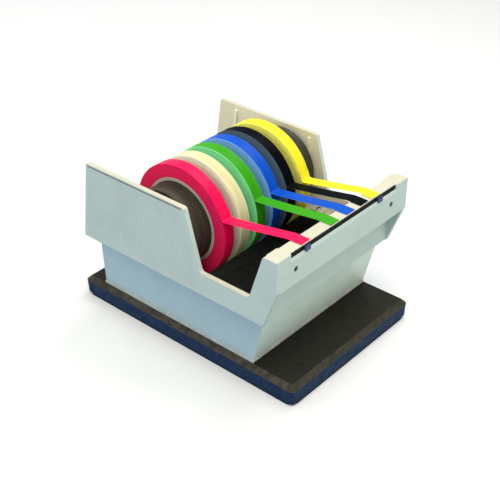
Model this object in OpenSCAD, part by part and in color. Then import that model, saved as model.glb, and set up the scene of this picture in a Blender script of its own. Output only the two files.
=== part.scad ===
// Bench tape dispenser: a weighted base, a moulded tray between two tall side
// panels, and a lift-out axle that carries independently turning tape rolls.
// Millimetres. +Z is up and -Y is the front (the cutting edge). The origin is
// on the standing surface, under the middle of the base.

/* [Housing] */
// Overall width across the two side panels
panel_span = 185.8; // [184:0.2:190]
// Thickness of each side panel
panel_t = 4.5; // [3.5:0.1:5]
// Outer width of the lower tray
tray_w = 164.4; // [163:0.2:166]
// Wall thickness of the tray
tray_t = 3; // [2.6:0.1:3.4]
// Widening of each side of the tray from its foot to its ledge
tray_flare = 1; // [0:0.1:1.5]
// Height of the high part of the side panels
panel_top_z = 156.3; // [154:0.1:162]
// Height of the bottom of the side notch
notch_z = 98.4; // [94:0.1:104]
// Height of the lower edge of the side panels
skirt_z = 74; // [72:0.1:74]
// Height of the cutting lip
lip_z = 145.2; // [144:0.1:147]
// Rounding of the side panels' lower edge
edge_r = 2.6; // [1:0.1:3]
// Distance between neighbouring flutes on the outside of the high part
flute_pitch = 3.5; // [2.4:0.1:5]
// Depth of the flutes
flute_d = 0.25; // [0.2:0.05:0.5]

/* [Base] */
// Width of the base plate
base_w = 176; // [166:0.2:178]
// Length of the base plate
base_l = 264; // [256:1:266]
// Height of the top of the base plate
base_z = 20.6; // [18:0.1:20.6]
// Thickness of the rubber pad under the plate
pad_t = 3; // [2:0.5:5]
// Chamfer round the top of the plate
base_chamfer = 4.6; // [1:0.1:5]

/* [Rolls] */
// Outer radius of the tape rolls
roll_r = 53.9; // [46:0.1:54.2]
// Outer radius of the cardboard cores
core_ro = 41.1; // [40:0.1:43]
// Inner radius of the cores, which is also the hub radius
core_ri = 38.1; // [38:0.1:38.2]
// Width of the tape
tape_w = 12; // [9:0.5:14]
// Radius of the axle rod
axle_r = 4; // [3:0.1:5]
// Radial running clearance of the hubs on the axle
run_c = 0.06; // [0.02:0.01:0.09]
// Distance between neighbouring hubs
hub_pitch = 21.55; // [21.4:0.05:21.6]

/* [Cutter] */
// Length of the cutter blade
blade_l = 148.4; // [140:0.4:149]
// Distance between neighbouring blade teeth
tooth_pitch = 2.65; // [2.12:0.53:3.18]
// Height of the teeth
tooth_h = 1.1; // [0.6:0.1:1.3]

/* [Hidden] */
$fn = 72;
e = 0.01;

lip_y = -116.2;                 // front face of the lip
xo = panel_span / 2;            // outer face of a side panel
xi = xo - panel_t;              // inner face of a side panel
tw = tray_w / 2;                // outer face of the tray's side wall
ti = tw - tray_t;               // inner face of the tray's side wall
bar_x = 75;                     // half length of the blade bar
ledge_z1 = 77;                  // top of the tray's side ledge
ledge_z0 = skirt_z;             // underside of the ledge
axle_y = 136.5 + lip_y;         // axle position
axle_z = 117.5;
first_x = -57;                  // middle of the first roll
hub_w = hub_pitch - 0.4;        // one hub's width
slot_r = axle_r + 0.05;         // saddle slot half width
rear_slope = 0.0386;            // backward lean of the tray's rear wall
rear_y = 223.2;                 // rear of the tray's foot, from the lip
wall_top = notch_z - 0.4;       // top of the rear wall
step_y = 15.5;                  // set-back upright wall under the lip, from the lip
tub_y = 20.9;                   // front of the lower tray at the ledge, from the lip
beam_z = 112.6;                 // underside of the lip
chin = 114.5;                   // corner of the side panel's front edge
foot_y = 34.1;                  // front of the tray's foot, from the lip
sx_screw = 60;                  // base screw positions
sy_screw = [62, 196];
foot_pos = [50, 92, 181, 214];  // panel foot positions, from the lip

function unit(v) = v / norm(v);
function ang(v) = atan2(v[1], v[0]);
function wrap(a) = a > 180 ? a - 360 : (a < -180 ? a + 360 : a);
// Corner b of the path a-b-c rounded to radius r by n + 1 points
function corner(a, b, c, r, n) =
    r <= 0 ? [b] :
    let (u = unit(a - b), v = unit(c - b), h = acos(u * v) / 2,
         o = b + unit(u + v) * r / sin(h), p = b + u * r / tan(h),
         q = b + v * r / tan(h), a0 = ang(p - o), da = wrap(ang(q - o) - a0))
    [for (i = [0:n]) o + r * [cos(a0 + da * i / n), sin(a0 + da * i / n)]];
function rounded(pts, rs, n = 6) =
    let (m = len(pts))
    [for (i = [0:m - 1]) each corner(pts[(i + m - 1) % m], pts[i], pts[(i + 1) % m], rs[i], n)];
// Shift of a side outline from lip-based to part-based Y
function at_lip(pts) = [for (p = pts) [p[0] + lip_y, p[1]]];

// Side outline (y, z) given from the lip, extruded from x0 to x1
module prism(pts, x0, x1) {
    translate([x0, 0, 0]) rotate([90, 0, 90]) linear_extrude(x1 - x0) polygon(at_lip(pts));
}
module box(x0, x1, y0, y1, z0, z1) {
    translate([x0, y0 + lip_y, z0]) cube([x1 - x0, y1 - y0, z1 - z0]);
}
module both_sides() { children(); mirror([1, 0, 0]) children(); }
// Cylinder along X about the axle line
module disc(x0, x1, r, f = 96) {
    translate([x0, axle_y, axle_z]) rotate([0, 90, 0]) cylinder(h = x1 - x0, r = r, $fn = f);
}
module ring(x0, x1, r1, r0, f = 96) {
    difference() { disc(x0, x1, r1, f); disc(x0 - 1, x1 + 1, r0, f); }
}
// Flat slab with rounded corners
module slab(w, l, r, z0, z1) {
    translate([0, 0, z0]) linear_extrude(z1 - z0) {
        square([w - 2 * r, l], center = true);
        square([w, l - 2 * r], center = true);
        for (sx = [-1, 1], sy = [-1, 1])
            translate([sx * (w / 2 - r), sy * (l / 2 - r)]) circle(r = r, $fn = 40);
    }
}
// Pan-head screw with a cross recess, head up, standing on z = 0
module screw(rs, len, rh, hh) {
    difference() {
        union() {
            cylinder(h = hh * 0.6, r = rh, $fn = 32);
            translate([0, 0, hh * 0.6]) cylinder(h = hh * 0.4, r1 = rh, r2 = rh * 0.78, $fn = 32);
            translate([0, 0, -len]) cylinder(h = len + e, r = rs, $fn = 28);
        }
        for (a = [0, 90]) rotate([0, 0, a])
            translate([-rh * 0.62, -rh * 0.11, hh * 0.45]) cube([rh * 1.24, rh * 0.22, hh]);
    }
}

// ---------------------------------------------------------------- base
module base_pad() {
    color([0.10, 0.14, 0.22]) slab(base_w - 1.6, base_l - 1.6, 9, 0, pad_t);
}
module base_plate() {
    color([0.20, 0.20, 0.21]) difference() {
        union() {
            // sides that lean in very slightly towards the bottom
            hull() {
                slab(base_w - 0.8, base_l - 0.8, 4.6, pad_t, pad_t + e);
                slab(base_w, base_l, 4.2, base_z - base_chamfer - e, base_z - base_chamfer);
            }
            hull() {
                slab(base_w, base_l, 4.2, base_z - base_chamfer - e, base_z - base_chamfer);
                slab(base_w - 2 * base_chamfer, base_l - 2 * base_chamfer, 1.4, base_z - e, base_z);
            }
        }
        for (sx = [-1, 1], y = sy_screw)
            translate([sx * sx_screw, y + lip_y, base_z - 13]) cylinder(h = 20, r = 2.5, $fn = 28);
    }
}
module base_screws() {
    color([0.35, 0.35, 0.36]) for (sx = [-1, 1], y = sy_screw)
        translate([sx * sx_screw, y + lip_y, base_z + tray_t + 1.8]) screw(2.5, 15.6, 4.8, 2.8);
}

// ---------------------------------------------------------------- tray
function rear(z) = rear_y + rear_slope * (z - base_z);
tub_front = [[foot_y, base_z], [tub_y, ledge_z0], [tub_y + 3.1, ledge_z0], [foot_y + 3.2, base_z]];
// Step forward at the ledge, set-back upright wall, and the lip's front wall
upper_front = [[step_y, ledge_z0], [step_y, beam_z], [0, beam_z], [0, lip_z - 7.8], [0.9, lip_z - 4.5],
               [0.9, 136], [3.5, 136], [3.5, beam_z + 3], [step_y + 3, beam_z + 3], [step_y + 3, ledge_z1],
               [tub_y + 3.1, ledge_z1], [tub_y + 3.1, ledge_z0]];
upper_rs = [1.4, 0, 1, 0, 0, 0, 0, 0, 0, 0, 0, 0];
side_wall = [[foot_y, base_z], [tub_y, ledge_z0], [step_y + 1, ledge_z0], [step_y + 1, beam_z], [1, beam_z],
             [1, 138.4], [13, 138.4], [27.5, 94], [27.5, ledge_z1], [rear(ledge_z1), ledge_z1],
             [rear_y, base_z]];
module tray() {
    fw = tw + tray_flare;
    color([0.86, 0.84, 0.76]) difference() {
        union() {
            difference() {
                union() {
                    prism(tub_front, -fw, fw);
                    both_sides() prism(side_wall, ti, fw);
                    // floor
                    prism([[foot_y, base_z], [rear_y, base_z], [rear(base_z + tray_t), base_z + tray_t],
                           [foot_y - 0.75, base_z + tray_t]], -fw, fw);
                    // rear wall
                    prism([[rear_y - tray_t, base_z], [rear(wall_top) - tray_t, wall_top],
                           [rear(wall_top), wall_top], [rear_y, base_z]], -fw, fw);
                }
                // the sides lean outwards from the foot to the ledge
                both_sides() translate([0, 150 + lip_y + 100, 0]) rotate([90, 0, 0]) linear_extrude(260)
                    polygon([[tw, base_z - 1], [tw, base_z], [fw, ledge_z0], [fw + 5, ledge_z0], [fw + 5, base_z - 1]]);
            }
            // step, set-back wall and lip
            prism(rounded(upper_front, upper_rs, 4), -xi, xi);
            // the rear wall is wider above the ledge, where it meets the panels
            both_sides() prism([[rear(ledge_z0) - tray_t, ledge_z0], [rear(wall_top) - tray_t, wall_top],
                   [rear(wall_top), wall_top], [rear(ledge_z0), ledge_z0]], tw - 1, xi);
            // ledges that carry the side panels
            both_sides() box(ti, xi, step_y + 2, rear(ledge_z0) - 0.5, ledge_z0, ledge_z1);
            // corner blocks of the lip
            both_sides() box(bar_x + 0.1, xi, 0, 14.8, 136, lip_z);
            // low bead round the foot
            prism([[foot_y - 0.9, base_z], [foot_y + 1, base_z], [foot_y + 1, base_z + 2.2],
                   [foot_y - 1.4, base_z + 2.2]], -tw - 0.8, tw + 0.8);
            both_sides() box(tw - 1, tw + 0.8, foot_y, rear_y + 0.8, base_z, base_z + 2.2);
            box(-tw - 0.8, tw + 0.8, rear_y - 1, rear_y + 0.8, base_z, base_z + 2.2);
        }
        for (sx = [-1, 1], y = sy_screw)
            translate([sx * sx_screw, y + lip_y, base_z - 1]) cylinder(h = 8, r = 2.8, $fn = 28);
        for (sx = [-1, 1], y = foot_pos)
            translate([sx * 84.2, y + lip_y, ledge_z0 - 1]) cylinder(h = 8, r = 1.4, $fn = 24);
        for (sx = [-1, 1]) translate([sx * 68.2, lip_y, 127.9]) rotate([-90, 0, 0]) {
            translate([0, 0, -1]) cylinder(h = 8, r = 1.6, $fn = 24);
            translate([0, 0, -1]) cylinder(h = 2.3, r = 2.6, $fn = 32);
        }
    }
}
// Dark inner lining of the well
lt = 1.5;
lg = 0.3;
lf = step_y + 3.3;              // liner against the set-back wall
liner_front = [[36.9, base_z + tray_t + lg], [tub_y + 3.5, ledge_z0], [tub_y + 3.4, ledge_z1 + lg], [lf, ledge_z1 + lg],
               [lf, 114], [lf + lt, 114], [lf + lt, ledge_z1 + lg + lt], [tub_y + 5.1, ledge_z1 + lg + lt],
               [tub_y + 5.1, ledge_z0], [38.5, base_z + tray_t + lg]];
liner_side = [[36.9, base_z + tray_t + lg], [tub_y + 3.5, ledge_z0], [tub_y + 3.4, ledge_z1 + lg], [lf, ledge_z1 + lg],
              [lf, 114], [lf + lt, 114], [26, 95], [26, ledge_z1 - 1],
              [rear(ledge_z1 - 1) - tray_t - lg, ledge_z1 - 1],
              [rear(base_z + tray_t) - tray_t - lg, base_z + tray_t + lg]];
module tray_liner() {
    color([0.07, 0.07, 0.07]) difference() {
        union() {
            prism(liner_front, -(ti - lg), ti - lg);
            both_sides() prism(liner_side, ti - lg - lt, ti - lg);
            prism([[37, base_z + tray_t + lg], [rear_y - tray_t - lg, base_z + tray_t + lg],
                   [rear_y - tray_t - lg, base_z + tray_t + lg + lt], [37, base_z + tray_t + lg + lt]],
                  -(ti - lg), ti - lg);
            prism([[rear(base_z + tray_t) - tray_t - lg - lt, base_z + tray_t + lg],
                   [rear(94) - tray_t - lg - lt, 94], [rear(94) - tray_t - lg, 94],
                   [rear(base_z + tray_t) - tray_t - lg, base_z + tray_t + lg]], -(ti - lg), ti - lg);
        }
        for (sx = [-1, 1], y = sy_screw)
            translate([sx * sx_screw, y + lip_y, base_z]) cylinder(h = 12, r = 2.8, $fn = 28);
    }
}

// ---------------------------------------------------------------- side panels
panel_pts = [[235.9, skirt_z], [224.3, panel_top_z], [101.8, panel_top_z], [85.6, notch_z],
             [29.7, notch_z], [14.8, lip_z], [0, lip_z], [0, chin], [15.2, skirt_z]];
panel_rs = [3, 1, 3.2, 4, 4, 2.2, 1.2, 3, 1.5];
module panel() {
    difference() {
        union() {
            prism(rounded(panel_pts, panel_rs), xi, xo);
            // feet that stand on the tray's ledge
            for (y = foot_pos) box(79.9, xi + 1, y - 7, y + 7, ledge_z1, ledge_z1 + 3);
            // tapered stiffening ribs on the inner face of the high part
            for (r = [[110, 4, 3.2], [203, 8.5, 7.5]]) translate([0, r[0] - 1.5 + lip_y, 0]) rotate([90, 0, 0])
                mirror([0, 0, 1]) linear_extrude(3)
                    polygon([[xi + 1, ledge_z1], [xi - r[1], ledge_z1], [xi - r[2], 112], [xi - 1, panel_top_z - 6], [xi + 1, panel_top_z - 4]]);
        }
        // fine upright flutes on the outside of the high part
        intersection() {
            prism([[230.5, 79], [221, panel_top_z - 5], [106.6, panel_top_z - 5], [90, 90], [90, 79]], xo - flute_d, xo + 1);
            for (i = [0:ceil(142 / flute_pitch)])
                box(xo - 2, xo + 2, 90.4 + i * flute_pitch, 90.4 + i * flute_pitch + flute_pitch * 0.43, 60, 170);
        }
        // rounded lower edge, on the outside
        translate([xo - edge_r, -60 + lip_y, skirt_z + edge_r]) rotate([-90, 0, 0]) difference() {
            translate([0, 0, 0]) cube([edge_r + 1, edge_r + 1, 400]);
            translate([0, 0, -1]) cylinder(h = 402, r = edge_r, $fn = 40);
        }
        // groove under the top edge, on the outside
        prism([[105.3, panel_top_z - 3.2], [222.5, panel_top_z - 3.2],
               [222.4, panel_top_z - 1.4], [104.8, panel_top_z - 1.4]], xo - 0.8, xo + 1);
        for (y = foot_pos) translate([84.2, y + lip_y, ledge_z1 - 1]) cylinder(h = 6, r = 1.6, $fn = 24);
        // blind holes for the saddle screws
        for (s = [-1, 1]) translate([xi - 1, axle_y + s * 9, 88]) rotate([0, 90, 0])
            cylinder(h = 4, r = 1.3, $fn = 24);
    }
}
module left_side_panel() { color([0.88, 0.86, 0.78]) mirror([1, 0, 0]) panel(); }
module right_side_panel() { color([0.88, 0.86, 0.78]) panel(); }
module panel_screws() {
    color([0.6, 0.6, 0.6]) both_sides() for (y = foot_pos)
        translate([84.2, y + lip_y, ledge_z1 + 3]) screw(1.4, 5.6, 2.7, 1.7);
}

// ---------------------------------------------------------------- axle saddles
sad_x0 = 84.6;
module saddle() {
    difference() {
        translate([sad_x0, 0, 0]) rotate([90, 0, 90]) linear_extrude(xi - sad_x0)
            polygon(rounded([[axle_y - 15, ledge_z1], [axle_y - 15, 92], [axle_y - 10.5, 104],
                     [axle_y - 10.5, 134], [axle_y + 10.5, 134], [axle_y + 10.5, 104],
                     [axle_y + 15, 92], [axle_y + 15, ledge_z1]],
                    [0, 3, 6, 2, 2, 6, 3, 0]));
        // open-top slot with a flared mouth
        translate([sad_x0 - 1, axle_y, axle_z]) rotate([0, 90, 0]) cylinder(h = 8, r = slot_r, $fn = 64);
        translate([sad_x0 - 1, axle_y - slot_r, axle_z]) cube([8, 2 * slot_r, 30]);
        translate([sad_x0 - 1, 0, 0]) rotate([90, 0, 90]) linear_extrude(8)
            polygon([[axle_y - slot_r, 126], [axle_y - 8, 135], [axle_y + 8, 135], [axle_y + slot_r, 126]]);
        for (s = [-1, 1]) translate([sad_x0 - 1, axle_y + s * 9, 88]) rotate([0, 90, 0]) {
            cylinder(h = 8, r = 1.6, $fn = 24);
            cylinder(h = 2.6, r = 2.7, $fn = 28);
        }
    }
}
module left_axle_saddle() { color([0.16, 0.16, 0.17]) mirror([1, 0, 0]) saddle(); }
module right_axle_saddle() { color([0.16, 0.16, 0.17]) saddle(); }
module saddle_screws() {
    color([0.6, 0.6, 0.6]) both_sides() for (s = [-1, 1])
        translate([sad_x0 + 1.6, axle_y + s * 9, 88]) rotate([0, -90, 0]) screw(1.3, 4.6, 2.5, 1.4);
}

// ---------------------------------------------------------------- cutter
module blade_bar() {
    color([0.88, 0.86, 0.78]) difference() {
        prism([[1.7, 136], [1.7, lip_z], [13.5, lip_z], [13.5, lip_z - 3.8], [6.6, lip_z - 3.8],
               [6.6, 122], [3.5, 122], [3.5, 136]], -bar_x, bar_x);
        for (sx = [-1, 1]) translate([sx * 68.2, lip_y, 127.9]) rotate([-90, 0, 0])
            cylinder(h = 12, r = 1.25, $fn = 24);
    }
}
teeth_n = floor(blade_l / tooth_pitch);
function tooth_pts() = [for (i = [0:teeth_n - 1]) each
    let (x = -blade_l / 2 + (blade_l - teeth_n * tooth_pitch) / 2 + i * tooth_pitch)
    [[x, 0], [x + tooth_pitch / 2, tooth_h]]];
module cutter_blade() {
    color([0.13, 0.13, 0.14])
        translate([0, lip_y + 1.7, lip_z - 1]) rotate([90, 0, 0]) linear_extrude(0.8)
            polygon(concat([[-blade_l / 2, -8.2], [-blade_l / 2, 0]], tooth_pts(),
                           [[blade_l / 2, 0], [blade_l / 2, -8.2]]));
}
module blade_clips() {
    color([0.08, 0.12, 0.30]) for (x = [-53.5, 49.2])
        prism([[-0.9, lip_z - 6], [0.9 * 1.8 / 3.3, lip_z - 6], [0.9, lip_z - 4.5], [0.9, lip_z - 1.4],
               [0.2, lip_z - 1.4], [-0.9, lip_z - 2.7]], x - 3.2, x + 3.2);
}
module front_screws() {
    color([0.12, 0.13, 0.14]) for (sx = [-1, 1])
        translate([sx * 68.2, lip_y + 1.3, 127.9]) rotate([90, 0, 0]) screw(1.25, 6.8, 2.4, 1.1);
}

// ---------------------------------------------------------------- axle and what is fixed to it
module axle_rod() {
    color([0.75, 0.76, 0.78]) disc(-(xi - 0.6), xi - 0.6, axle_r, 64);
}
module axle_collars() {
    color([0.2, 0.2, 0.2]) { ring(83.25, 84.1, 9, axle_r, 48); ring(-84.1, -83.25, 9, axle_r, 48); }
}
sp0 = -83.1;
sp1 = first_x - hub_w / 2 - 0.4;
module end_spacer() {
    color([0.13, 0.12, 0.12]) difference() {
        disc(sp0, sp1, core_ri - 0.6);
        disc(sp0 - 1, sp1 + 1, axle_r, 64);
        ring(sp0 - 1, sp0 + 4, core_ri - 4, 10);
    }
}
// Strand of tape from a roll to the cutter: roll middle x0, lip middle x1, peeling
// off the roll at p degrees above the axle's level.
// Every cross-section lies parallel to the axle, and only its middle moves
// sideways, so a slanting strand keeps the same distance from its roll.
strand_t = 0.4;                 // thickness of a strand
strand_gap = 0.45;              // free distance between a strand and its roll
function on_roll(a, r) = [136.5 - r * cos(a), axle_z + r * sin(a)];
function strand_line(p) = let (r = roll_r + strand_gap + strand_t / 2, q = on_roll(p - 0.6, r + 0.75), l = [18.5, 145.55])
    [on_roll(p + 7, r + 0.06), on_roll(p + 4.5, r + 0.05), on_roll(p + 2, r + 0.05),
     on_roll(p + 0.4, r + 0.25), q, (q + l) / 2 - [0, 0.15], l, [16, 145.8], [2.1, 145.8]];
// sideways direction of the sheet's surface at point i of the line c
function strand_n(c, i) = let (a = c[max(i - 1, 0)], b = c[min(i + 1, len(c) - 1)], d = unit(b - a)) [-d[1], d[0]];
module strand(x0, x1, p) {
    c = strand_line(p);
    n = len(c);
    py = on_roll(p, roll_r)[0];
    h = tape_w / 2;
    function mid(y) = y > py ? x0 : x0 + (x1 - x0) * (py - y) / (py - 2.1);
    pts = [for (i = [0:n - 1]) each let (m = mid(c[i][0]), d = strand_n(c, i) * strand_t / 2, lo = c[i] + d, hi = c[i] - d)
        [[m - h, lo[0], lo[1]], [m + h, lo[0], lo[1]], [m + h, hi[0], hi[1]], [m - h, hi[0], hi[1]]]];
    sides = [for (i = [0:n - 2], k = [0:3]) each let (a = 4 * i + k, b = 4 * i + (k + 1) % 4)
        [[a, b + 4, b], [a, a + 4, b + 4]]];
    translate([0, lip_y, 0]) polyhedron(points = pts,
        faces = concat([[0, 1, 2, 3]], sides, [[for (k = [3:-1:0]) 4 * (n - 1) + k]]));
}
module red_strand() { color([0.9, 0.05, 0.2]) strand(hub_x(0), -53.2, 20); }
module green_strand() { color([0.2, 0.6, 0.1]) strand(hub_x(2), -13.7, 22); }
module blue_strand() { color([0.0, 0.3, 0.85]) strand(hub_x(3), 8.9, 20.5); }
module black_strand() { color([0.05, 0.05, 0.05]) strand(hub_x(4), 28.7, 18); }
module yellow_strand() { color([1, 0.9, 0.05]) strand(hub_x(5), 45, 14.5); }

// ---------------------------------------------------------------- hubs, cores and tape
function hub_x(i) = first_x + i * hub_pitch;
module hub(i) {
    x = hub_x(i);
    color([0.15, 0.14, 0.14]) difference() {
        union() {
            disc(x - tape_w / 2, x + tape_w / 2, core_ri);
            disc(x - hub_w / 2, x + hub_w / 2, core_ri - 0.6);
        }
        for (s = [-1, 1]) translate([s < 0 ? x - hub_w / 2 - 1 : x + 1.5, 0, 0])
            ring(0, hub_w / 2 - 0.5, core_ri - 4, 9, 72);
        disc(x - hub_w, x + hub_w, axle_r + run_c, 64);
        for (a = [0:60:300]) translate([x - 5, axle_y, axle_z]) rotate([a, 0, 0])
            translate([0, 21.5, 0]) rotate([0, 90, 0]) cylinder(h = 10, r = 6.5, $fn = 32);
    }
}
module core(i) {
    color([0.72, 0.70, 0.64]) ring(hub_x(i) - tape_w / 2, hub_x(i) + tape_w / 2, core_ro, core_ri);
}
module winding(i) { ring(hub_x(i) - tape_w / 2, hub_x(i) + tape_w / 2, roll_r, core_ro); }
module red_hub() { hub(0); }
module red_core() { core(0); }
module red_tape() { color([0.9, 0.05, 0.2]) winding(0); }
module cream_hub() { hub(1); }
module cream_core() { core(1); }
module cream_tape() { color([0.92, 0.86, 0.66]) winding(1); }
module green_hub() { hub(2); }
module green_core() { core(2); }
module green_tape() { color([0.2, 0.6, 0.1]) winding(2); }
module blue_hub() { hub(3); }
module blue_core() { core(3); }
module blue_tape() { color([0.0, 0.3, 0.85]) winding(3); }
module black_hub() { hub(4); }
module black_core() { core(4); }
module black_tape() { color([0.05, 0.05, 0.05]) winding(4); }
module yellow_hub() { hub(5); }
module yellow_core() { core(5); }
module yellow_tape() { color([1, 0.9, 0.05]) winding(5); }
module spare_hub() { hub(6); }

base_pad();
base_plate();
base_screws();
tray();
tray_liner();
left_side_panel();
right_side_panel();
panel_screws();
left_axle_saddle();
right_axle_saddle();
saddle_screws();
blade_bar();
cutter_blade();
blade_clips();
front_screws();
axle_rod();
axle_collars();
end_spacer();
red_strand();
green_strand();
blue_strand();
black_strand();
yellow_strand();
red_hub();
red_core();
red_tape();
cream_hub();
cream_core();
cream_tape();
green_hub();
green_core();
green_tape();
blue_hub();
blue_core();
blue_tape();
black_hub();
black_core();
black_tape();
yellow_hub();
yellow_core();
yellow_tape();
spare_hub();
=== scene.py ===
import math
import random

import bmesh
import bpy
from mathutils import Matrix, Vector


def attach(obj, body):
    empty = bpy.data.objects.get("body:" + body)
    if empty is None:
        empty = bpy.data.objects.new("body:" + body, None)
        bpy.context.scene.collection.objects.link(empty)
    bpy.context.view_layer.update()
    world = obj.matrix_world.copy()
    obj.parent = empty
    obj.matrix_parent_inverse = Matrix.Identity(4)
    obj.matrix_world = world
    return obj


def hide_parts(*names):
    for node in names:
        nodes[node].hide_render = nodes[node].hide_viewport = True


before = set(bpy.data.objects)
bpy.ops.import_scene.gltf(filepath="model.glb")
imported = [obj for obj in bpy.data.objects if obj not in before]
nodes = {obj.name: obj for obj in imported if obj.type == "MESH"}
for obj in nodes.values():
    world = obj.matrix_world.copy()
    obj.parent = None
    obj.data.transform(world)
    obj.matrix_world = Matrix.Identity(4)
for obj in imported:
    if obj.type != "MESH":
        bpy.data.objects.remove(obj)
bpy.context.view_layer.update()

scene = bpy.context.scene
scene.view_settings.view_transform = "Standard"
scene.view_settings.look = "None"

MM = 0.001
AXLE_Y, AXLE_Z = 20.3, 117.5        # axle line, part frame, mm
LIP_Y = -116.2                      # y of the front wall's outer face, mm
ROLL_R, CORE_RO, CORE_RI = 53.9, 41.1, 38.1
TAPE_W = 12.0
FIRST_X, PITCH = -57.0, 21.55
COLOURS = ["red", "cream", "green", "blue", "black", "yellow"]


# ------------------------------------------------------------------ camera
def make_camera():
    a, e = math.radians(-49.14), math.radians(33.10)
    back = Vector((math.sin(a) * math.cos(e), -math.cos(a) * math.cos(e), math.sin(e)))
    cam = bpy.data.objects.new("camera", bpy.data.cameras.new("camera"))
    scene.collection.objects.link(cam)
    cam.location = Vector((-6.55, -13.32, 72.02)) * MM + back * 0.95453
    cam.rotation_mode = "QUATERNION"
    cam.rotation_quaternion = (-back).to_track_quat("-Z", "Y")
    cam.data.lens = 73.40
    cam.data.sensor_width = 36.0
    cam.data.clip_start, cam.data.clip_end = 0.02, 20
    scene.camera = cam


make_camera()


# ------------------------------------------------------------------ node helper
class Mat:
    """A node material that is built from small expressions."""

    def __init__(self, name):
        self.m = bpy.data.materials.new(name)
        self.m.use_nodes = True
        self.t = self.m.node_tree
        self.t.nodes.clear()
        self.out = self.t.nodes.new("ShaderNodeOutputMaterial")
        self.b = self.t.nodes.new("ShaderNodeBsdfPrincipled")
        self.t.links.new(self.b.outputs[0], self.out.inputs[0])
        self.tc = self.t.nodes.new("ShaderNodeTexCoord")
        self.obj = self.tc.outputs["Object"]
        self.nrm = self.tc.outputs["Normal"]

    def link(self, src, dst):
        self.t.links.new(src, dst)

    def put(self, socket, v):
        if hasattr(v, "is_output"):
            self.link(v, socket)
        elif isinstance(v, (tuple, list)):
            v = tuple(v)
            socket.default_value = v + (1.0,) if len(v) == 3 and socket.type == "RGBA" else v
        else:
            socket.default_value = v

    def set(self, **kw):
        """Constant or linked values on the shader's own sockets."""
        for k, v in kw.items():
            self.put(self.b.inputs[k.replace("_", " ")], v)
        return self

    def math(self, op, a, b=0.0, c=0.0, clamp=False):
        n = self.t.nodes.new("ShaderNodeMath")
        n.operation = op
        n.use_clamp = clamp
        self.put(n.inputs[0], a)
        self.put(n.inputs[1], b)
        self.put(n.inputs[2], c)
        return n.outputs[0]

    def mix(self, f, a, b, blend="MIX"):
        n = self.t.nodes.new("ShaderNodeMix")
        n.data_type = "RGBA"
        n.blend_type = blend
        n.clamp_factor = True
        self.put(n.inputs[0], f)
        self.put(n.inputs[6], a)
        self.put(n.inputs[7], b)
        return n.outputs[2]

    def noise(self, scale, detail=3.0, rough=0.5, vec=None, distort=0.0):
        n = self.t.nodes.new("ShaderNodeTexNoise")
        n.inputs["Scale"].default_value = scale
        n.inputs["Detail"].default_value = detail
        n.inputs["Roughness"].default_value = rough
        n.inputs["Distortion"].default_value = distort
        self.link(vec or self.obj, n.inputs["Vector"])
        return n.outputs["Fac"]

    def voronoi(self, scale, vec=None, feature="F1"):
        n = self.t.nodes.new("ShaderNodeTexVoronoi")
        n.feature = feature
        n.inputs["Scale"].default_value = scale
        self.link(vec or self.obj, n.inputs["Vector"])
        return n.outputs["Distance"]

    def ramp(self, f, *stops):
        n = self.t.nodes.new("ShaderNodeValToRGB")
        e = n.color_ramp.elements
        while len(e) > 1:
            e.remove(e[-1])
        for i, (p, c) in enumerate(stops):
            x = e[0] if i == 0 else e.new(p)
            x.position = p
            x.color = (c, c, c, 1) if isinstance(c, (int, float)) else tuple(c) + (1,)
        self.link(f, n.inputs[0])
        return n.outputs[0]

    def step(self, v, lo, hi, a=0.0, b=1.0):
        """Smooth step from a to b as v goes from lo to hi."""
        n = self.t.nodes.new("ShaderNodeMapRange")
        n.interpolation_type = "SMOOTHSTEP"
        for k, x in zip(("From Min", "From Max", "To Min", "To Max"), (lo, hi, a, b)):
            n.inputs[k].default_value = x
        self.put(n.inputs["Value"], v)
        return n.outputs["Result"]

    def xyz(self, vec=None):
        n = self.t.nodes.new("ShaderNodeSeparateXYZ")
        self.link(vec or self.obj, n.inputs[0])
        return n.outputs[0], n.outputs[1], n.outputs[2]

    def vec(self, x, y, z):
        n = self.t.nodes.new("ShaderNodeCombineXYZ")
        for i, v in enumerate((x, y, z)):
            self.put(n.inputs[i], v)
        return n.outputs[0]

    def scaled(self, sx, sy, sz, vec=None):
        n = self.t.nodes.new("ShaderNodeMapping")
        n.inputs["Scale"].default_value = (sx, sy, sz)
        self.link(vec or self.obj, n.inputs["Vector"])
        return n.outputs[0]

    def bump(self, height, dist_mm, strength=1.0, below=None):
        n = self.t.nodes.new("ShaderNodeBump")
        n.inputs["Strength"].default_value = strength
        n.inputs["Distance"].default_value = dist_mm * MM
        self.link(height, n.inputs["Height"])
        if below is not None:
            self.link(below, n.inputs["Normal"])
        return n.outputs[0]

    def edges(self, radius_mm):
        """0 on flat faces, rising to 1 on sharp outer and inner edges."""
        n = self.t.nodes.new("ShaderNodeBevel")
        n.samples = 4
        n.inputs["Radius"].default_value = radius_mm * MM
        g = self.t.nodes.new("ShaderNodeNewGeometry")
        d = self.t.nodes.new("ShaderNodeVectorMath")
        d.operation = "DOT_PRODUCT"
        self.link(n.outputs[0], d.inputs[0])
        self.link(g.outputs["True Normal"], d.inputs[1])
        return self.step(d.outputs["Value"], 0.995, 0.90)

    def axle_polar(self):
        """Radius from the axle in mm and angle round it in turns."""
        x, y, z = self.xyz()
        dy = self.math("SUBTRACT", y, AXLE_Y * MM)
        dz = self.math("SUBTRACT", z, AXLE_Z * MM)
        r = self.math("SQRT", self.math("ADD", self.math("MULTIPLY", dy, dy), self.math("MULTIPLY", dz, dz)))
        return self.math("MULTIPLY", r, 1000.0), self.math("ARCTAN2", dz, dy), x


def srgb(r, g, b):
    f = lambda c: (c / 255 / 12.92) if c <= 10.31 else ((c / 255 + 0.055) / 1.055) ** 2.4
    return (f(r), f(g), f(b))


def dim(c, k):
    return tuple(v * k for v in c)


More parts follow.
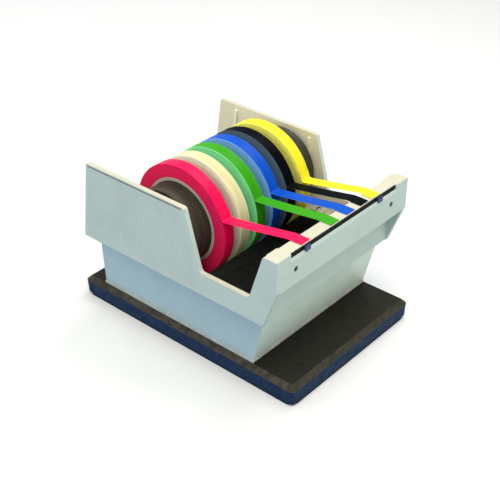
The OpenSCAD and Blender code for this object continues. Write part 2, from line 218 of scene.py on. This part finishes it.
# ------------------------------------------------------------------ materials
def ivory():
    m = Mat("ivory_plastic")
    x, y, z = m.xyz()
    nx, ny, nz = m.xyz(m.nrm)
    # painted light: faces turned up are painted warmer and darker than the sides, standing in for a warm light from
    # above
    painted_top_tint = m.step(nz, 0.25, 0.9)
    base = m.mix(painted_top_tint, (0.600, 0.685, 0.640), (0.540, 0.520, 0.400))
    shade = m.mix(painted_top_tint, (0.568, 0.645, 0.598), (0.510, 0.487, 0.372))
    # painted light: below the overhang the side walls are painted cooler, a painted blue reflection, and the front
    # faces turned down are painted lighter, a painted bounce light
    under = m.step(z, 0.0742, 0.0738)
    painted_cool_wall = m.math("MULTIPLY", under, m.step(m.math("ABSOLUTE", nx), 0.70, 0.85))
    base = m.mix(painted_cool_wall, base, (0.490, 0.620, 0.665))
    shade = m.mix(painted_cool_wall, shade, (0.465, 0.590, 0.635))
    painted_front_lift = m.math("MULTIPLY", under, m.math("MULTIPLY", m.step(ny, -0.70, -0.85), m.step(nz, -0.05, -0.15)))
    base = m.mix(painted_front_lift, base, (0.86, 0.94, 0.83))
    shade = m.mix(painted_front_lift, shade, (0.82, 0.90, 0.79))
    # painted light: the inner faces of the side panels are painted warmer and lighter, a painted bounce light from
    # the rolls
    inner = m.math("MULTIPLY", m.step(m.math("ABSOLUTE", x), 0.0800, 0.0815), m.step(m.math("MULTIPLY", x, nx), -0.03, -0.06))
    inner = m.math("MULTIPLY", inner, m.step(y, -0.094, -0.090))
    base = m.mix(inner, base, (0.92, 0.85, 0.64))
    shade = m.mix(inner, shade, (0.86, 0.79, 0.59))
    c = m.mix(m.step(m.noise(26, 4, 0.55), 0.35, 0.68), base, shade)
    c = m.mix(m.step(m.noise(1400, 2), 0.42, 0.72, 0.0, 0.22), c, (0.46, 0.48, 0.42))
    # painted shade: the walls are painted darker towards their foot on the base, broken up by noise
    low = m.step(z, 0.030, 0.0206, 0.0, 0.42)
    low = m.math("MULTIPLY", low, m.step(m.noise(60, 4, 0.6), 0.3, 0.65))
    c = m.mix(low, c, (0.36, 0.35, 0.26))
    # painted shade: the groove below the top edge is painted dark
    ax = m.math("ABSOLUTE", x)
    painted_groove_shade = m.math("MULTIPLY", m.step(ax, 0.0918, 0.09195), m.step(ax, 0.0927, 0.0924))
    painted_groove_shade = m.math("MULTIPLY", painted_groove_shade, m.math("MULTIPLY", m.step(z, 0.1526, 0.1530), m.step(z, 0.1552, 0.1548)))
    c = m.mix(m.math("MULTIPLY", painted_groove_shade, 0.7), c, (0.12, 0.16, 0.16))
    # painted highlight and wear: the edges are painted lighter
    edge = m.edges(0.9)
    edge_lightening = m.math("MULTIPLY", edge, m.step(m.noise(70, 3, 0.6), 0.42, 0.62, 0.0, 0.45))
    c = m.mix(edge_lightening, c, (0.72, 0.72, 0.63))
    rough = m.step(m.noise(90, 4, 0.6), 0.3, 0.7, 0.36, 0.50)
    n = m.bump(m.noise(2600, 2, 0.6), 0.035, 0.5)
    n = m.bump(m.noise(38, 2, 0.4), 0.10, 0.35, n)
    m.set(Base_Color=c, Roughness=rough, Normal=n)
    m.b.inputs["Specular IOR Level"].default_value = 0.45
    return m.m


def base_coat():
    m = Mat("base_coat")
    nx, ny, nz = m.xyz(m.nrm)
    grain = m.noise(900, 4, 0.7)
    fleck = m.voronoi(620)
    top = m.mix(m.step(grain, 0.38, 0.66), srgb(26, 28, 23), srgb(43, 42, 34))
    top = m.mix(m.step(m.noise(22, 4, 0.6), 0.38, 0.66, 0.0, 0.5), top, srgb(38, 35, 27))
    top = m.mix(m.step(fleck, 0.16, 0.05, 0.0, 0.4), top, srgb(72, 67, 56))
    # painted reflection: the sides are painted navy, a blue reflection, against the charcoal top
    side = m.mix(m.step(m.noise(400, 3), 0.4, 0.66), srgb(22, 42, 72), srgb(33, 55, 88))
    c = m.mix(m.step(nz, 0.25, 0.85), side, top)
    # painted highlight: the chamfer is painted a lighter grey, most of all on the long sides, mottled by noise
    cham = m.math("MULTIPLY", m.step(nz, 0.45, 0.62), m.step(nz, 0.96, 0.84))
    painted_chamfer_light = m.mix(m.step(m.math("ABSOLUTE", nx), 0.35, 0.6), srgb(70, 66, 52), srgb(78, 74, 66))
    painted_chamfer_light = m.mix(m.step(m.noise(130, 4, 0.65), 0.36, 0.66), painted_chamfer_light, srgb(54, 49, 40))
    c = m.mix(m.math("MULTIPLY", cham, 0.85), c, painted_chamfer_light)
    edge_lightening = m.math("MULTIPLY", m.edges(0.8), m.step(m.noise(85, 4, 0.65), 0.46, 0.62, 0.0, 0.45))
    c = m.mix(edge_lightening, c, srgb(112, 110, 102))
    n = m.bump(grain, 0.10, 0.75)
    n = m.bump(fleck, 0.06, 0.4, n)
    m.set(Base_Color=c, Roughness=m.step(m.noise(120, 4), 0.3, 0.7, 0.50, 0.70), Normal=n)
    m.b.inputs["Specular IOR Level"].default_value = 0.10
    return m.m


def pad_rubber():
    m = Mat("pad_rubber")
    g = m.noise(1500, 3, 0.6)
    c = m.mix(m.step(m.noise(80, 4), 0.35, 0.7), srgb(17, 31, 54), srgb(27, 42, 66))
    c = m.mix(m.step(g, 0.55, 0.75, 0.0, 0.4), c, srgb(46, 56, 72))
    m.set(Base_Color=c, Roughness=m.step(g, 0.3, 0.7, 0.72, 0.88), Normal=m.bump(g, 0.08, 0.6))
    m.b.inputs["Specular IOR Level"].default_value = 0.2
    return m.m


def liner():
    m = Mat("liner_plastic")
    x, y, z = m.xyz()
    c = m.mix(m.step(m.noise(45, 4, 0.6), 0.35, 0.68), srgb(28, 31, 27), srgb(47, 50, 43))
    c = m.mix(m.step(m.voronoi(520), 0.14, 0.04, 0.0, 0.35), c, srgb(80, 80, 72))
    dust = m.math("MULTIPLY", m.step(z, 0.034, 0.0235), m.step(m.noise(160, 5, 0.7), 0.45, 0.7, 0.0, 0.35))
    c = m.mix(dust, c, srgb(105, 102, 90))
    m.set(Base_Color=c, Roughness=m.step(m.noise(130, 3), 0.3, 0.7, 0.45, 0.62), Normal=m.bump(m.noise(1300, 3, 0.6), 0.05, 0.5))
    return m.m


def dark_plastic(name, a, b, rough=(0.42, 0.58)):
    m = Mat(name)
    r, ang, x = m.axle_polar()
    # faint turned rings follow the radius from the axle
    ring = m.noise(1.0, 3, 0.55, m.vec(m.math("MULTIPLY", r, 1.7), m.math("MULTIPLY", ang, 0.35), m.math("MULTIPLY", x, 160.0)))
    c = m.mix(m.step(ring, 0.35, 0.68), a, b)
    c = m.mix(m.step(m.noise(1100, 3), 0.52, 0.75, 0.0, 0.35), c, dim(b, 1.6))
    edge_lightening = m.math("MULTIPLY", m.edges(0.7), m.step(m.noise(120, 3), 0.45, 0.62, 0.0, 0.5))
    c = m.mix(edge_lightening, c, dim(b, 2.4))
    n = m.bump(ring, 0.05, 0.5)
    n = m.bump(m.noise(1900, 2), 0.03, 0.5, n)
    m.set(Base_Color=c, Roughness=m.step(m.noise(150, 3), 0.3, 0.7, *rough), Normal=n)
    m.b.inputs["Specular IOR Level"].default_value = 0.3
    return m.m


def steel(name, a, b, rough, stretch=(1, 1, 1)):
    m = Mat(name)
    g = m.noise(900, 4, 0.6, m.scaled(*stretch))
    c = m.mix(m.step(g, 0.35, 0.68), a, b)
    c = m.mix(m.step(m.noise(110, 4, 0.65), 0.54, 0.72, 0.0, 0.5), c, dim(a, 0.55))
    m.set(Base_Color=c, Roughness=m.step(g, 0.3, 0.7, rough, rough + 0.16), Normal=m.bump(g, 0.02, 0.6))
    m.b.inputs["Metallic"].default_value = 1.0
    return m.m


def blade_steel():
    m = Mat("blade_steel")
    x, y, z = m.xyz()
    g = m.noise(700, 4, 0.6, m.scaled(0.12, 1, 1))
    c = m.mix(m.step(g, 0.35, 0.68), srgb(4, 6, 7), srgb(11, 15, 17))
    # the teeth are ground a little brighter towards their tips
    tip = m.math("MULTIPLY", m.step(z, 0.1443, 0.1453), m.step(m.noise(600, 3), 0.3, 0.6, 0.5, 1.0))
    c = m.mix(m.math("MULTIPLY", tip, 0.3), c, srgb(70, 76, 82))
    m.set(Base_Color=c, Roughness=m.step(g, 0.3, 0.7, 0.36, 0.50), Normal=m.bump(g, 0.02, 0.6))
    m.b.inputs["Specular IOR Level"].default_value = 0.05
    return m.m


def clip_plastic():
    m = Mat("clip_plastic")
    c = m.mix(m.step(m.noise(220, 4), 0.35, 0.68), srgb(22, 38, 84), srgb(34, 54, 106))
    c = m.mix(m.math("MULTIPLY", m.edges(0.5), 0.5), c, srgb(78, 98, 148))
    m.set(Base_Color=c, Roughness=m.step(m.noise(300, 3), 0.3, 0.7, 0.34, 0.48), Normal=m.bump(m.noise(1700, 2), 0.03, 0.5))
    return m.m


def cardboard():
    m = Mat("cardboard")
    r, ang, x = m.axle_polar()
    ply = m.noise(1.0, 2, 0.5, m.vec(m.math("MULTIPLY", r, 3.2), m.math("MULTIPLY", ang, 0.6), 0.0))
    fibre = m.noise(1500, 4, 0.7)
    c = m.mix(m.step(ply, 0.36, 0.66), srgb(196, 184, 170), srgb(158, 146, 132))
    c = m.mix(m.step(fibre, 0.5, 0.72, 0.0, 0.5), c, srgb(222, 212, 198))
    n = m.bump(ply, 0.12, 0.6)
    n = m.bump(fibre, 0.05, 0.6, n)
    m.set(Base_Color=c, Roughness=m.step(fibre, 0.3, 0.7, 0.80, 0.92), Normal=n)
    return m.m


# tread colour and side colour (linear), gloss, and how far light spreads in the film. The side colours are the
# paler edges of the wound layers, painted lighter still as painted light from the left; the cream side is painted
# greener and bluer against the red light bounced from the red roll.
FILMS = {
    "red": ((0.95, 0.004, 0.085), (0.95, 0.016, 0.125), 0.34, 0.45),
    "cream": ((0.70, 0.63, 0.34), (0.88, 1.0, 0.78), 0.52, 0.80),
    "green": ((0.036, 0.330, 0.003), (0.30, 0.90, 0.42), 0.36, 0.60),
    "blue": ((0.0, 0.076, 0.520), (0.26, 0.50, 1.00), 0.36, 0.60),
    "black": ((0.0008, 0.0018, 0.0034), (0.12, 0.17, 0.22), 0.40, 0.0),
    "yellow": ((0.90, 0.76, 0.020), (1.00, 0.94, 0.20), 0.36, 0.80),
}


def film(colour, ribbon=False):
    tread, side, gloss, spread = FILMS[colour]
    tread2, side2 = dim(tread, 0.84), dim(side, 0.72)
    if ribbon:
        # a single layer of tape spreads much less light than a wound roll
        spread = 0.0
    m = Mat(colour + ("_ribbon" if ribbon else "_film"))
    r, ang, x = m.axle_polar()
    nx, ny, nz = m.xyz(m.nrm)
    side_f = m.step(m.math("ABSOLUTE", nx), 0.45, 0.85)
    # side faces: edges of the wound layers, in rings that drift a little round the roll
    rings = m.noise(1.0, 5, 0.62, m.vec(m.math("MULTIPLY", r, 2.3), m.math("MULTIPLY", ang, 0.45), 0.0))
    fine = m.noise(1.0, 2, 0.5, m.vec(m.math("MULTIPLY", r, 9.0), m.math("MULTIPLY", ang, 0.8), 3.0))
    cs = m.mix(m.step(rings, 0.34, 0.66), side2, side)
    cs = m.mix(m.step(fine, 0.5, 0.75, 0.0, 0.35), cs, dim(side2, 0.8))
    # tread: long soft streaks along the tape
    streak = m.noise(1.0, 3, 0.55, m.vec(m.math("MULTIPLY", x, 420.0), m.math("MULTIPLY", ang, 1.3), 0.0))
    ct = m.mix(m.step(streak, 0.36, 0.66), tread2, tread)
    c = m.mix(side_f, ct, cs)
    dust = m.step(m.noise(420, 5, 0.7), 0.60, 0.80, 0.0, 0.012)
    c = m.mix(dust, c, srgb(210, 205, 195))
    rt = m.step(streak, 0.3, 0.7, gloss, gloss + 0.12)
    rough = m.math("ADD", rt, m.math("MULTIPLY", side_f, 0.22))
    n = m.bump(m.math("MULTIPLY", rings, side_f), 0.16, 0.7)
    n = m.bump(streak, 0.05, 0.35, n)
    m.set(Base_Color=c, Roughness=rough, Normal=n)
    m.b.inputs["Specular IOR Level"].default_value = 0.03 if colour == "black" else 0.10
    m.b.inputs["Subsurface Weight"].default_value = spread
    m.b.inputs["Subsurface Radius"].default_value = (1.0, 1.0, 1.0)
    m.b.inputs["Subsurface Scale"].default_value = 0.010 if colour in ("yellow", "cream") else 0.004
    return m.m


M = {
    "ivory_plastic": ivory(),
    "base_coat": base_coat(),
    "pad_rubber": pad_rubber(),
    "liner_plastic": liner(),
    "saddle_plastic": dark_plastic("saddle_plastic", srgb(40, 40, 42), srgb(56, 55, 56)),
    "hub_plastic": dark_plastic("hub_plastic", srgb(35, 34, 26), srgb(60, 56, 43), (0.50, 0.66)),
    "screw_steel": steel("screw_steel", srgb(168, 170, 172), srgb(200, 201, 200), 0.28),
    "dark_screw": steel("dark_screw", srgb(58, 64, 70), srgb(86, 92, 98), 0.36),
    "axle_steel": steel("axle_steel", srgb(184, 186, 188), srgb(206, 207, 208), 0.22, (0.15, 1, 1)),
    "blade_steel": blade_steel(),
    "clip_plastic": clip_plastic(),
    "cardboard": cardboard(),
}
for c in COLOURS:
    M[c + "_film"] = film(c)
    M[c + "_ribbon"] = film(c, True)

NODE_MAT = {
    "base_pad": "pad_rubber", "base_plate": "base_coat", "base_screws": "screw_steel",
    "tray": "ivory_plastic", "tray_liner": "liner_plastic",
    "left_side_panel": "ivory_plastic", "right_side_panel": "ivory_plastic",
    "panel_screws": "screw_steel", "left_axle_saddle": "saddle_plastic",
    "right_axle_saddle": "saddle_plastic", "saddle_screws": "screw_steel",
    "blade_bar": "ivory_plastic", "cutter_blade": "blade_steel",
    "blade_clips": "clip_plastic", "front_screws": "dark_screw",
    "axle_rod": "axle_steel", "axle_collars": "saddle_plastic",
    "end_spacer": "hub_plastic", "spare_hub": "hub_plastic",
}
for c in COLOURS:
    NODE_MAT[c + "_hub"] = "hub_plastic"
    NODE_MAT[c + "_core"] = "cardboard"
    NODE_MAT[c + "_tape"] = c + "_film"
    if c != "cream":
        NODE_MAT[c + "_strand"] = c + "_film"
for name, ob in nodes.items():
    mat = M[NODE_MAT[name]]
    if ob.data.materials:
        for i in range(len(ob.material_slots)):
            ob.material_slots[i].material = mat
    else:
        ob.data.materials.append(mat)


# ------------------------------------------------------------------ edges of the CAD nodes
def soften(name, width_mm, segments=2, angle=40):
    ob = nodes[name]
    b = ob.modifiers.new("edge", "BEVEL")
    b.limit_method = "ANGLE"
    b.angle_limit = math.radians(angle)
    b.width = width_mm * MM
    b.segments = segments
    b.use_clamp_overlap = True
    b.harden_normals = False
    return b


# ------------------------------------------------------------------ new pieces
def make_object(name, verts, faces, mat, smooth=True, body=None, replaces=(), sharp=None):
    me = bpy.data.meshes.new(name)
    me.from_pydata([tuple(c * MM for c in v) for v in verts], [], faces)
    me.validate()
    bm = bmesh.new()
    bm.from_mesh(me)
    bmesh.ops.recalc_face_normals(bm, faces=bm.faces)
    bm.to_mesh(me)
    bm.free()
    for p in me.polygons:
        p.use_smooth = smooth
    if smooth and sharp:
        me.set_sharp_from_angle(angle=math.radians(sharp))
    me.materials.append(M[mat])
    ob = bpy.data.objects.new(name, me)
    scene.collection.objects.link(ob)
    if body:
        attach(ob, body)
    if replaces:
        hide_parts(*replaces)
    return ob


def on_roll(deg, r):
    """Lip-based (y, z) of a point at that angle above the axle's level, on the front side."""
    a = math.radians(deg)
    return (136.5 - r * math.cos(a), AXLE_Z + r * math.sin(a))


def winding(i):
    """Wound tape: a lathed ring whose side faces show the edges of its layers."""
    colour = COLOURS[i]
    rnd = random.Random(100 + i)
    x = FIRST_X + PITCH * i
    h = TAPE_W / 2
    r_in, rim = CORE_RO + 0.01, 0.30
    rings = 44
    radii = [ROLL_R - rim - (ROLL_R - rim - r_in - 0.05) * k / (rings - 1) for k in range(rings)]
    wander = [0.0]
    for k in range(rings):
        wander.append(max(-0.10, min(0.10, wander[-1] * 0.75 + rnd.uniform(-0.05, 0.05))))

    def side(sgn, seed):
        r2 = random.Random(seed)
        out = []
        for k, r in enumerate(radii):
            inset = 0.11 + (wander[k] if sgn < 0 else -wander[k]) * 0.8 + r2.uniform(-0.02, 0.02)
            out.append((x + sgn * (h - max(0.0, inset)), r))
        return out

    edge = [(rim * (1 - math.cos(t)), rim * (1 - math.sin(t))) for t in (math.radians(v) for v in (20, 45, 70, 90))]
    left, right = side(-1, 7 + i), side(1, 57 + i)
    profile = left[::-1]
    profile += [(x - h + 0.06 + ex, ROLL_R - er) for ex, er in edge]
    profile += [(x + t * (h - rim - 0.5), ROLL_R + (0.0 if abs(t) > 0.8 else -0.03 * math.cos(t * 1.9))) for t in (-1, -0.6, -0.2, 0.2, 0.6, 1)]
    profile += [(x + h - 0.06 - ex, ROLL_R - er) for ex, er in edge[::-1]]
    profile += right
    segs = 240
    lobes = [(rnd.choice((2, 3, 5, 7)), rnd.uniform(0, 6.28), rnd.uniform(0.008, 0.022)) for _ in range(4)]
    verts, faces = [], []
    n = len(profile)
    for s in range(segs):
        a = 2 * math.pi * s / segs
        wob = sum(amp * math.sin(f * a + ph) for f, ph, amp in lobes)
        for px, pr in profile:
            w = (pr - r_in) / (ROLL_R - r_in)
            rr = pr + (wob - 0.07) * w
            verts.append((px, AXLE_Y + rr * math.cos(a), AXLE_Z + rr * math.sin(a)))
    for s in range(segs):
        b, d = s * n, ((s + 1) % segs) * n
        for k in range(n):
            q = (k + 1) % n
            faces.append((b + k, b + q, d + q, d + k))
    return make_object(colour + "_winding", verts, faces, colour + "_film", True, colour + "_roll",
                       (colour + "_tape",), 50)


def sheet(name, line, mid, mat, body, thick=0.15, width=TAPE_W, across=18, camber=0.10, teeth=True, replaces=()):
    """A thin strip of tape along a line of lip-based (y, z) points, with its middle at x = mid(i)."""
    n = len(line)
    top, bot = [], []
    for i in range(n):
        a, b = line[max(i - 1, 0)], line[min(i + 1, n - 1)]
        d = Vector((b[0] - a[0], b[1] - a[1])).normalized()
        nv = (-d[1], d[0])
        if nv[1] < 0 and i > n * 0.3:
            nv = (-nv[0], -nv[1])
        for side, rows in ((0.5, top), (-0.5, bot)):
            row = []
            for k in range(across + 1):
                t = k / across * 2 - 1
                f = min(1.0, i / (n * 0.25)) * min(1.0, (n - 1 - i) / (n * 0.12))
                cam = camber * (1 - t * t) * f
                y = line[i][0] + nv[0] * (side * thick + cam)
                z = line[i][1] + nv[1] * (side * thick + cam)
                if teeth and i == n - 1:
                    ph = (k / across * width / 2.65) % 1.0
                    y += 0.55 * (1 - abs(2 * ph - 1))
                row.append((mid(i) + t * width / 2, y + LIP_Y, z))
            rows.append(row)
    verts = [v for rows in (top, bot) for row in rows for v in row]
    w = across + 1
    base = n * w
    faces = []
    for i in range(n - 1):
        for k in range(across):
            a = i * w + k
            faces.append((a, a + 1, a + w + 1, a + w))
            faces.append((base + a, base + a + w, base + a + w + 1, base + a + 1))
        for k in (0, across):
            a = i * w + k
            faces.append((a, a + w, base + a + w, base + a))
    for i in (0, n - 1):
        for k in range(across):
            a = i * w + k
            faces.append((a, base + a, base + a + 1, a + 1))
    return make_object(name, verts, faces, mat, True, body, replaces, 40)


def strand(colour, x1, peel):
    """Tape that leaves its roll with a small-radius peel and runs over the lip to the blade."""
    i = COLOURS.index(colour)
    x0 = FIRST_X + PITCH * i
    r0 = ROLL_R + 0.17
    rho = 2.4
    line = [on_roll(peel + a, r0) for a in (5.8, 4.8, 3.8, 2.8, 1.8, 1.0, 0.4)]
    p = Vector(on_roll(peel, r0))
    a = math.radians(peel)
    n0 = Vector((-math.cos(a), math.sin(a)))
    centre = p + n0 * rho
    lip = Vector((17.6, 145.66))

    def at(phi):
        c, s = math.cos(phi), math.sin(phi)
        # turning from the roll's tangent (down and forward) towards the lip
        v = -n0
        w = Vector((v[0] * c + v[1] * s, -v[0] * s + v[1] * c))
        return centre + w * rho

    best = None
    for k in range(1, 1200):
        phi = k * 0.0015
        e = at(phi)
        d = (at(phi + 1e-4) - e).normalized()
        g = (lip - e).normalized()
        miss = abs(d[0] * g[1] - d[1] * g[0]) + (0 if d.dot(g) > 0 else 9)
        if best is None or miss < best[0]:
            best = (miss, phi)
    phi1 = best[1]
    for k in range(0, 11):
        e = at(phi1 * k / 10)
        line.append((e[0], e[1]))
    e = at(phi1)
    steps = 26
    for k in range(1, steps):
        t = k / steps
        q = e.lerp(lip, t)
        sag = 0.35 * math.sin(math.pi * t)
        line.append((q[0], q[1] - sag))
    # bend over the lip's inner edge, then flat to the blade
    for y, z in ((17.6, 145.62), (17.0, 145.68), (16.3, 145.72), (15.4, 145.735), (13.0, 145.73), (10.0, 145.72), (7.0, 145.72), (4.6, 145.72), (3.2, 145.72), (2.2, 145.72)):
        line.append((y, z))
    y0 = p[0]

    def mid(j):
        y = line[j][0]
        return x0 if y > y0 else x0 + (x1 - x0) * (y0 - y) / (y0 - 2.1)

    return sheet(colour + "_tape_strand", line, mid, colour + "_ribbon", "axle", replaces=(colour + "_strand",))


def end_tab():
    """The cream roll has no strand; its loose end is stuck down at the back."""
    x = FIRST_X + PITCH
    line = [on_roll(v, ROLL_R + 0.05) for v in range(158, 141, -1)]
    return sheet("cream_end_tab", line, lambda j: x, "cream_ribbon", "cream_roll", thick=0.16, width=TAPE_W - 0.4, across=16, camber=0.0, teeth=False)


for i in range(6):
    winding(i)
for c, x1, peel in (("red", -53.2, 21.2), ("green", -13.7, 23.2), ("blue", 8.9, 21.7), ("black", 28.7, 19.2), ("yellow", 45.0, 15.7)):
    strand(c, x1, peel)
end_tab()


# ------------------------------------------------------------------ stage and light
def floor():
    m = Mat("studio_floor")
    c = m.mix(m.step(m.noise(3.0, 3), 0.3, 0.7), (0.745, 0.745, 0.745), (0.765, 0.765, 0.765))
    m.set(Base_Color=c, Roughness=m.step(m.noise(40, 3), 0.3, 0.7, 0.80, 0.90), Normal=m.bump(m.noise(900, 2), 0.01, 0.2))
    bm = bmesh.new()
    s = 6.0
    vs = [bm.verts.new(p) for p in ((-s, -s, -0.0002), (s, -s, -0.0002), (s, s, -0.0002), (-s, s, -0.0002))]
    bm.faces.new(vs)
    me = bpy.data.meshes.new("studio_floor")
    bm.to_mesh(me)
    bm.free()
    me.materials.append(m.m)
    ob = bpy.data.objects.new("studio_floor", me)
    scene.collection.objects.link(ob)
    ob.visible_diffuse = False


def area(name, loc, aim, size, watts, colour):
    d = bpy.data.lights.new(name, "AREA")
    d.shape = "RECTANGLE"
    d.size, d.size_y = size
    d.energy = watts
    d.color = colour
    ob = bpy.data.objects.new(name, d)
    scene.collection.objects.link(ob)
    ob.location = loc
    ob.rotation_mode = "QUATERNION"
    ob.rotation_quaternion = (Vector(aim) - Vector(loc)).to_track_quat("-Z", "Y")


floor()
area("key", (-0.27, -0.30, 1.24), (0, 0, 0.08), (0.75, 0.75), 11.2, (1.0, 0.965, 0.90))
area("right_soft", (0.62, 0.05, 1.10), (0, 0, 0.1), (0.7, 0.7), 6.0, (1.0, 0.97, 0.91))
area("back_soft", (0.10, 1.10, 0.75), (0, 0, 0.1), (0.9, 0.6), 3.0, (0.96, 0.98, 1.0))

w = bpy.data.worlds.new("studio")
scene.world = w
w.use_nodes = True
wt = w.node_tree
bg = wt.nodes["Background"]
wc = wt.nodes.new("ShaderNodeTexCoord")
ws = wt.nodes.new("ShaderNodeSeparateXYZ")
wt.links.new(wc.outputs["Generated"], ws.inputs[0])


def towards(axis, lo, hi):
    """0 to 1 as a direction's component goes from lo to hi."""
    n = wt.nodes.new("ShaderNodeMapRange")
    n.interpolation_type = "SMOOTHSTEP"
    n.inputs["From Min"].default_value = lo
    n.inputs["From Max"].default_value = hi
    wt.links.new(ws.outputs[axis], n.inputs["Value"])
    return n.outputs["Result"]


def sky(f, a, b):
    n = wt.nodes.new("ShaderNodeMix")
    n.data_type = "RGBA"
    wt.links.new(f, n.inputs[0])
    for i, v in ((6, a), (7, b)):
        if isinstance(v, tuple):
            n.inputs[i].default_value = v + (1.0,)
        else:
            wt.links.new(v, n.inputs[i])
    return n.outputs[2]


# a pale room: soft white above, a bright board low in front, a dimmer cool one low on the left
low = sky(towards(0, -0.15, -0.75), sky(towards(1, 0.2, -0.6), (0.60, 0.70, 0.75), (1.28, 1.54, 1.24)), (0.0, 0.44, 1.00))
above = sky(towards(0, 0.0, -0.8), (0.86, 0.93, 0.98), (1.52, 1.50, 1.32))
wt.links.new(sky(towards(2, -0.20, 0.02), low, above), bg.inputs[0])
bg.inputs[1].default_value = 0.62
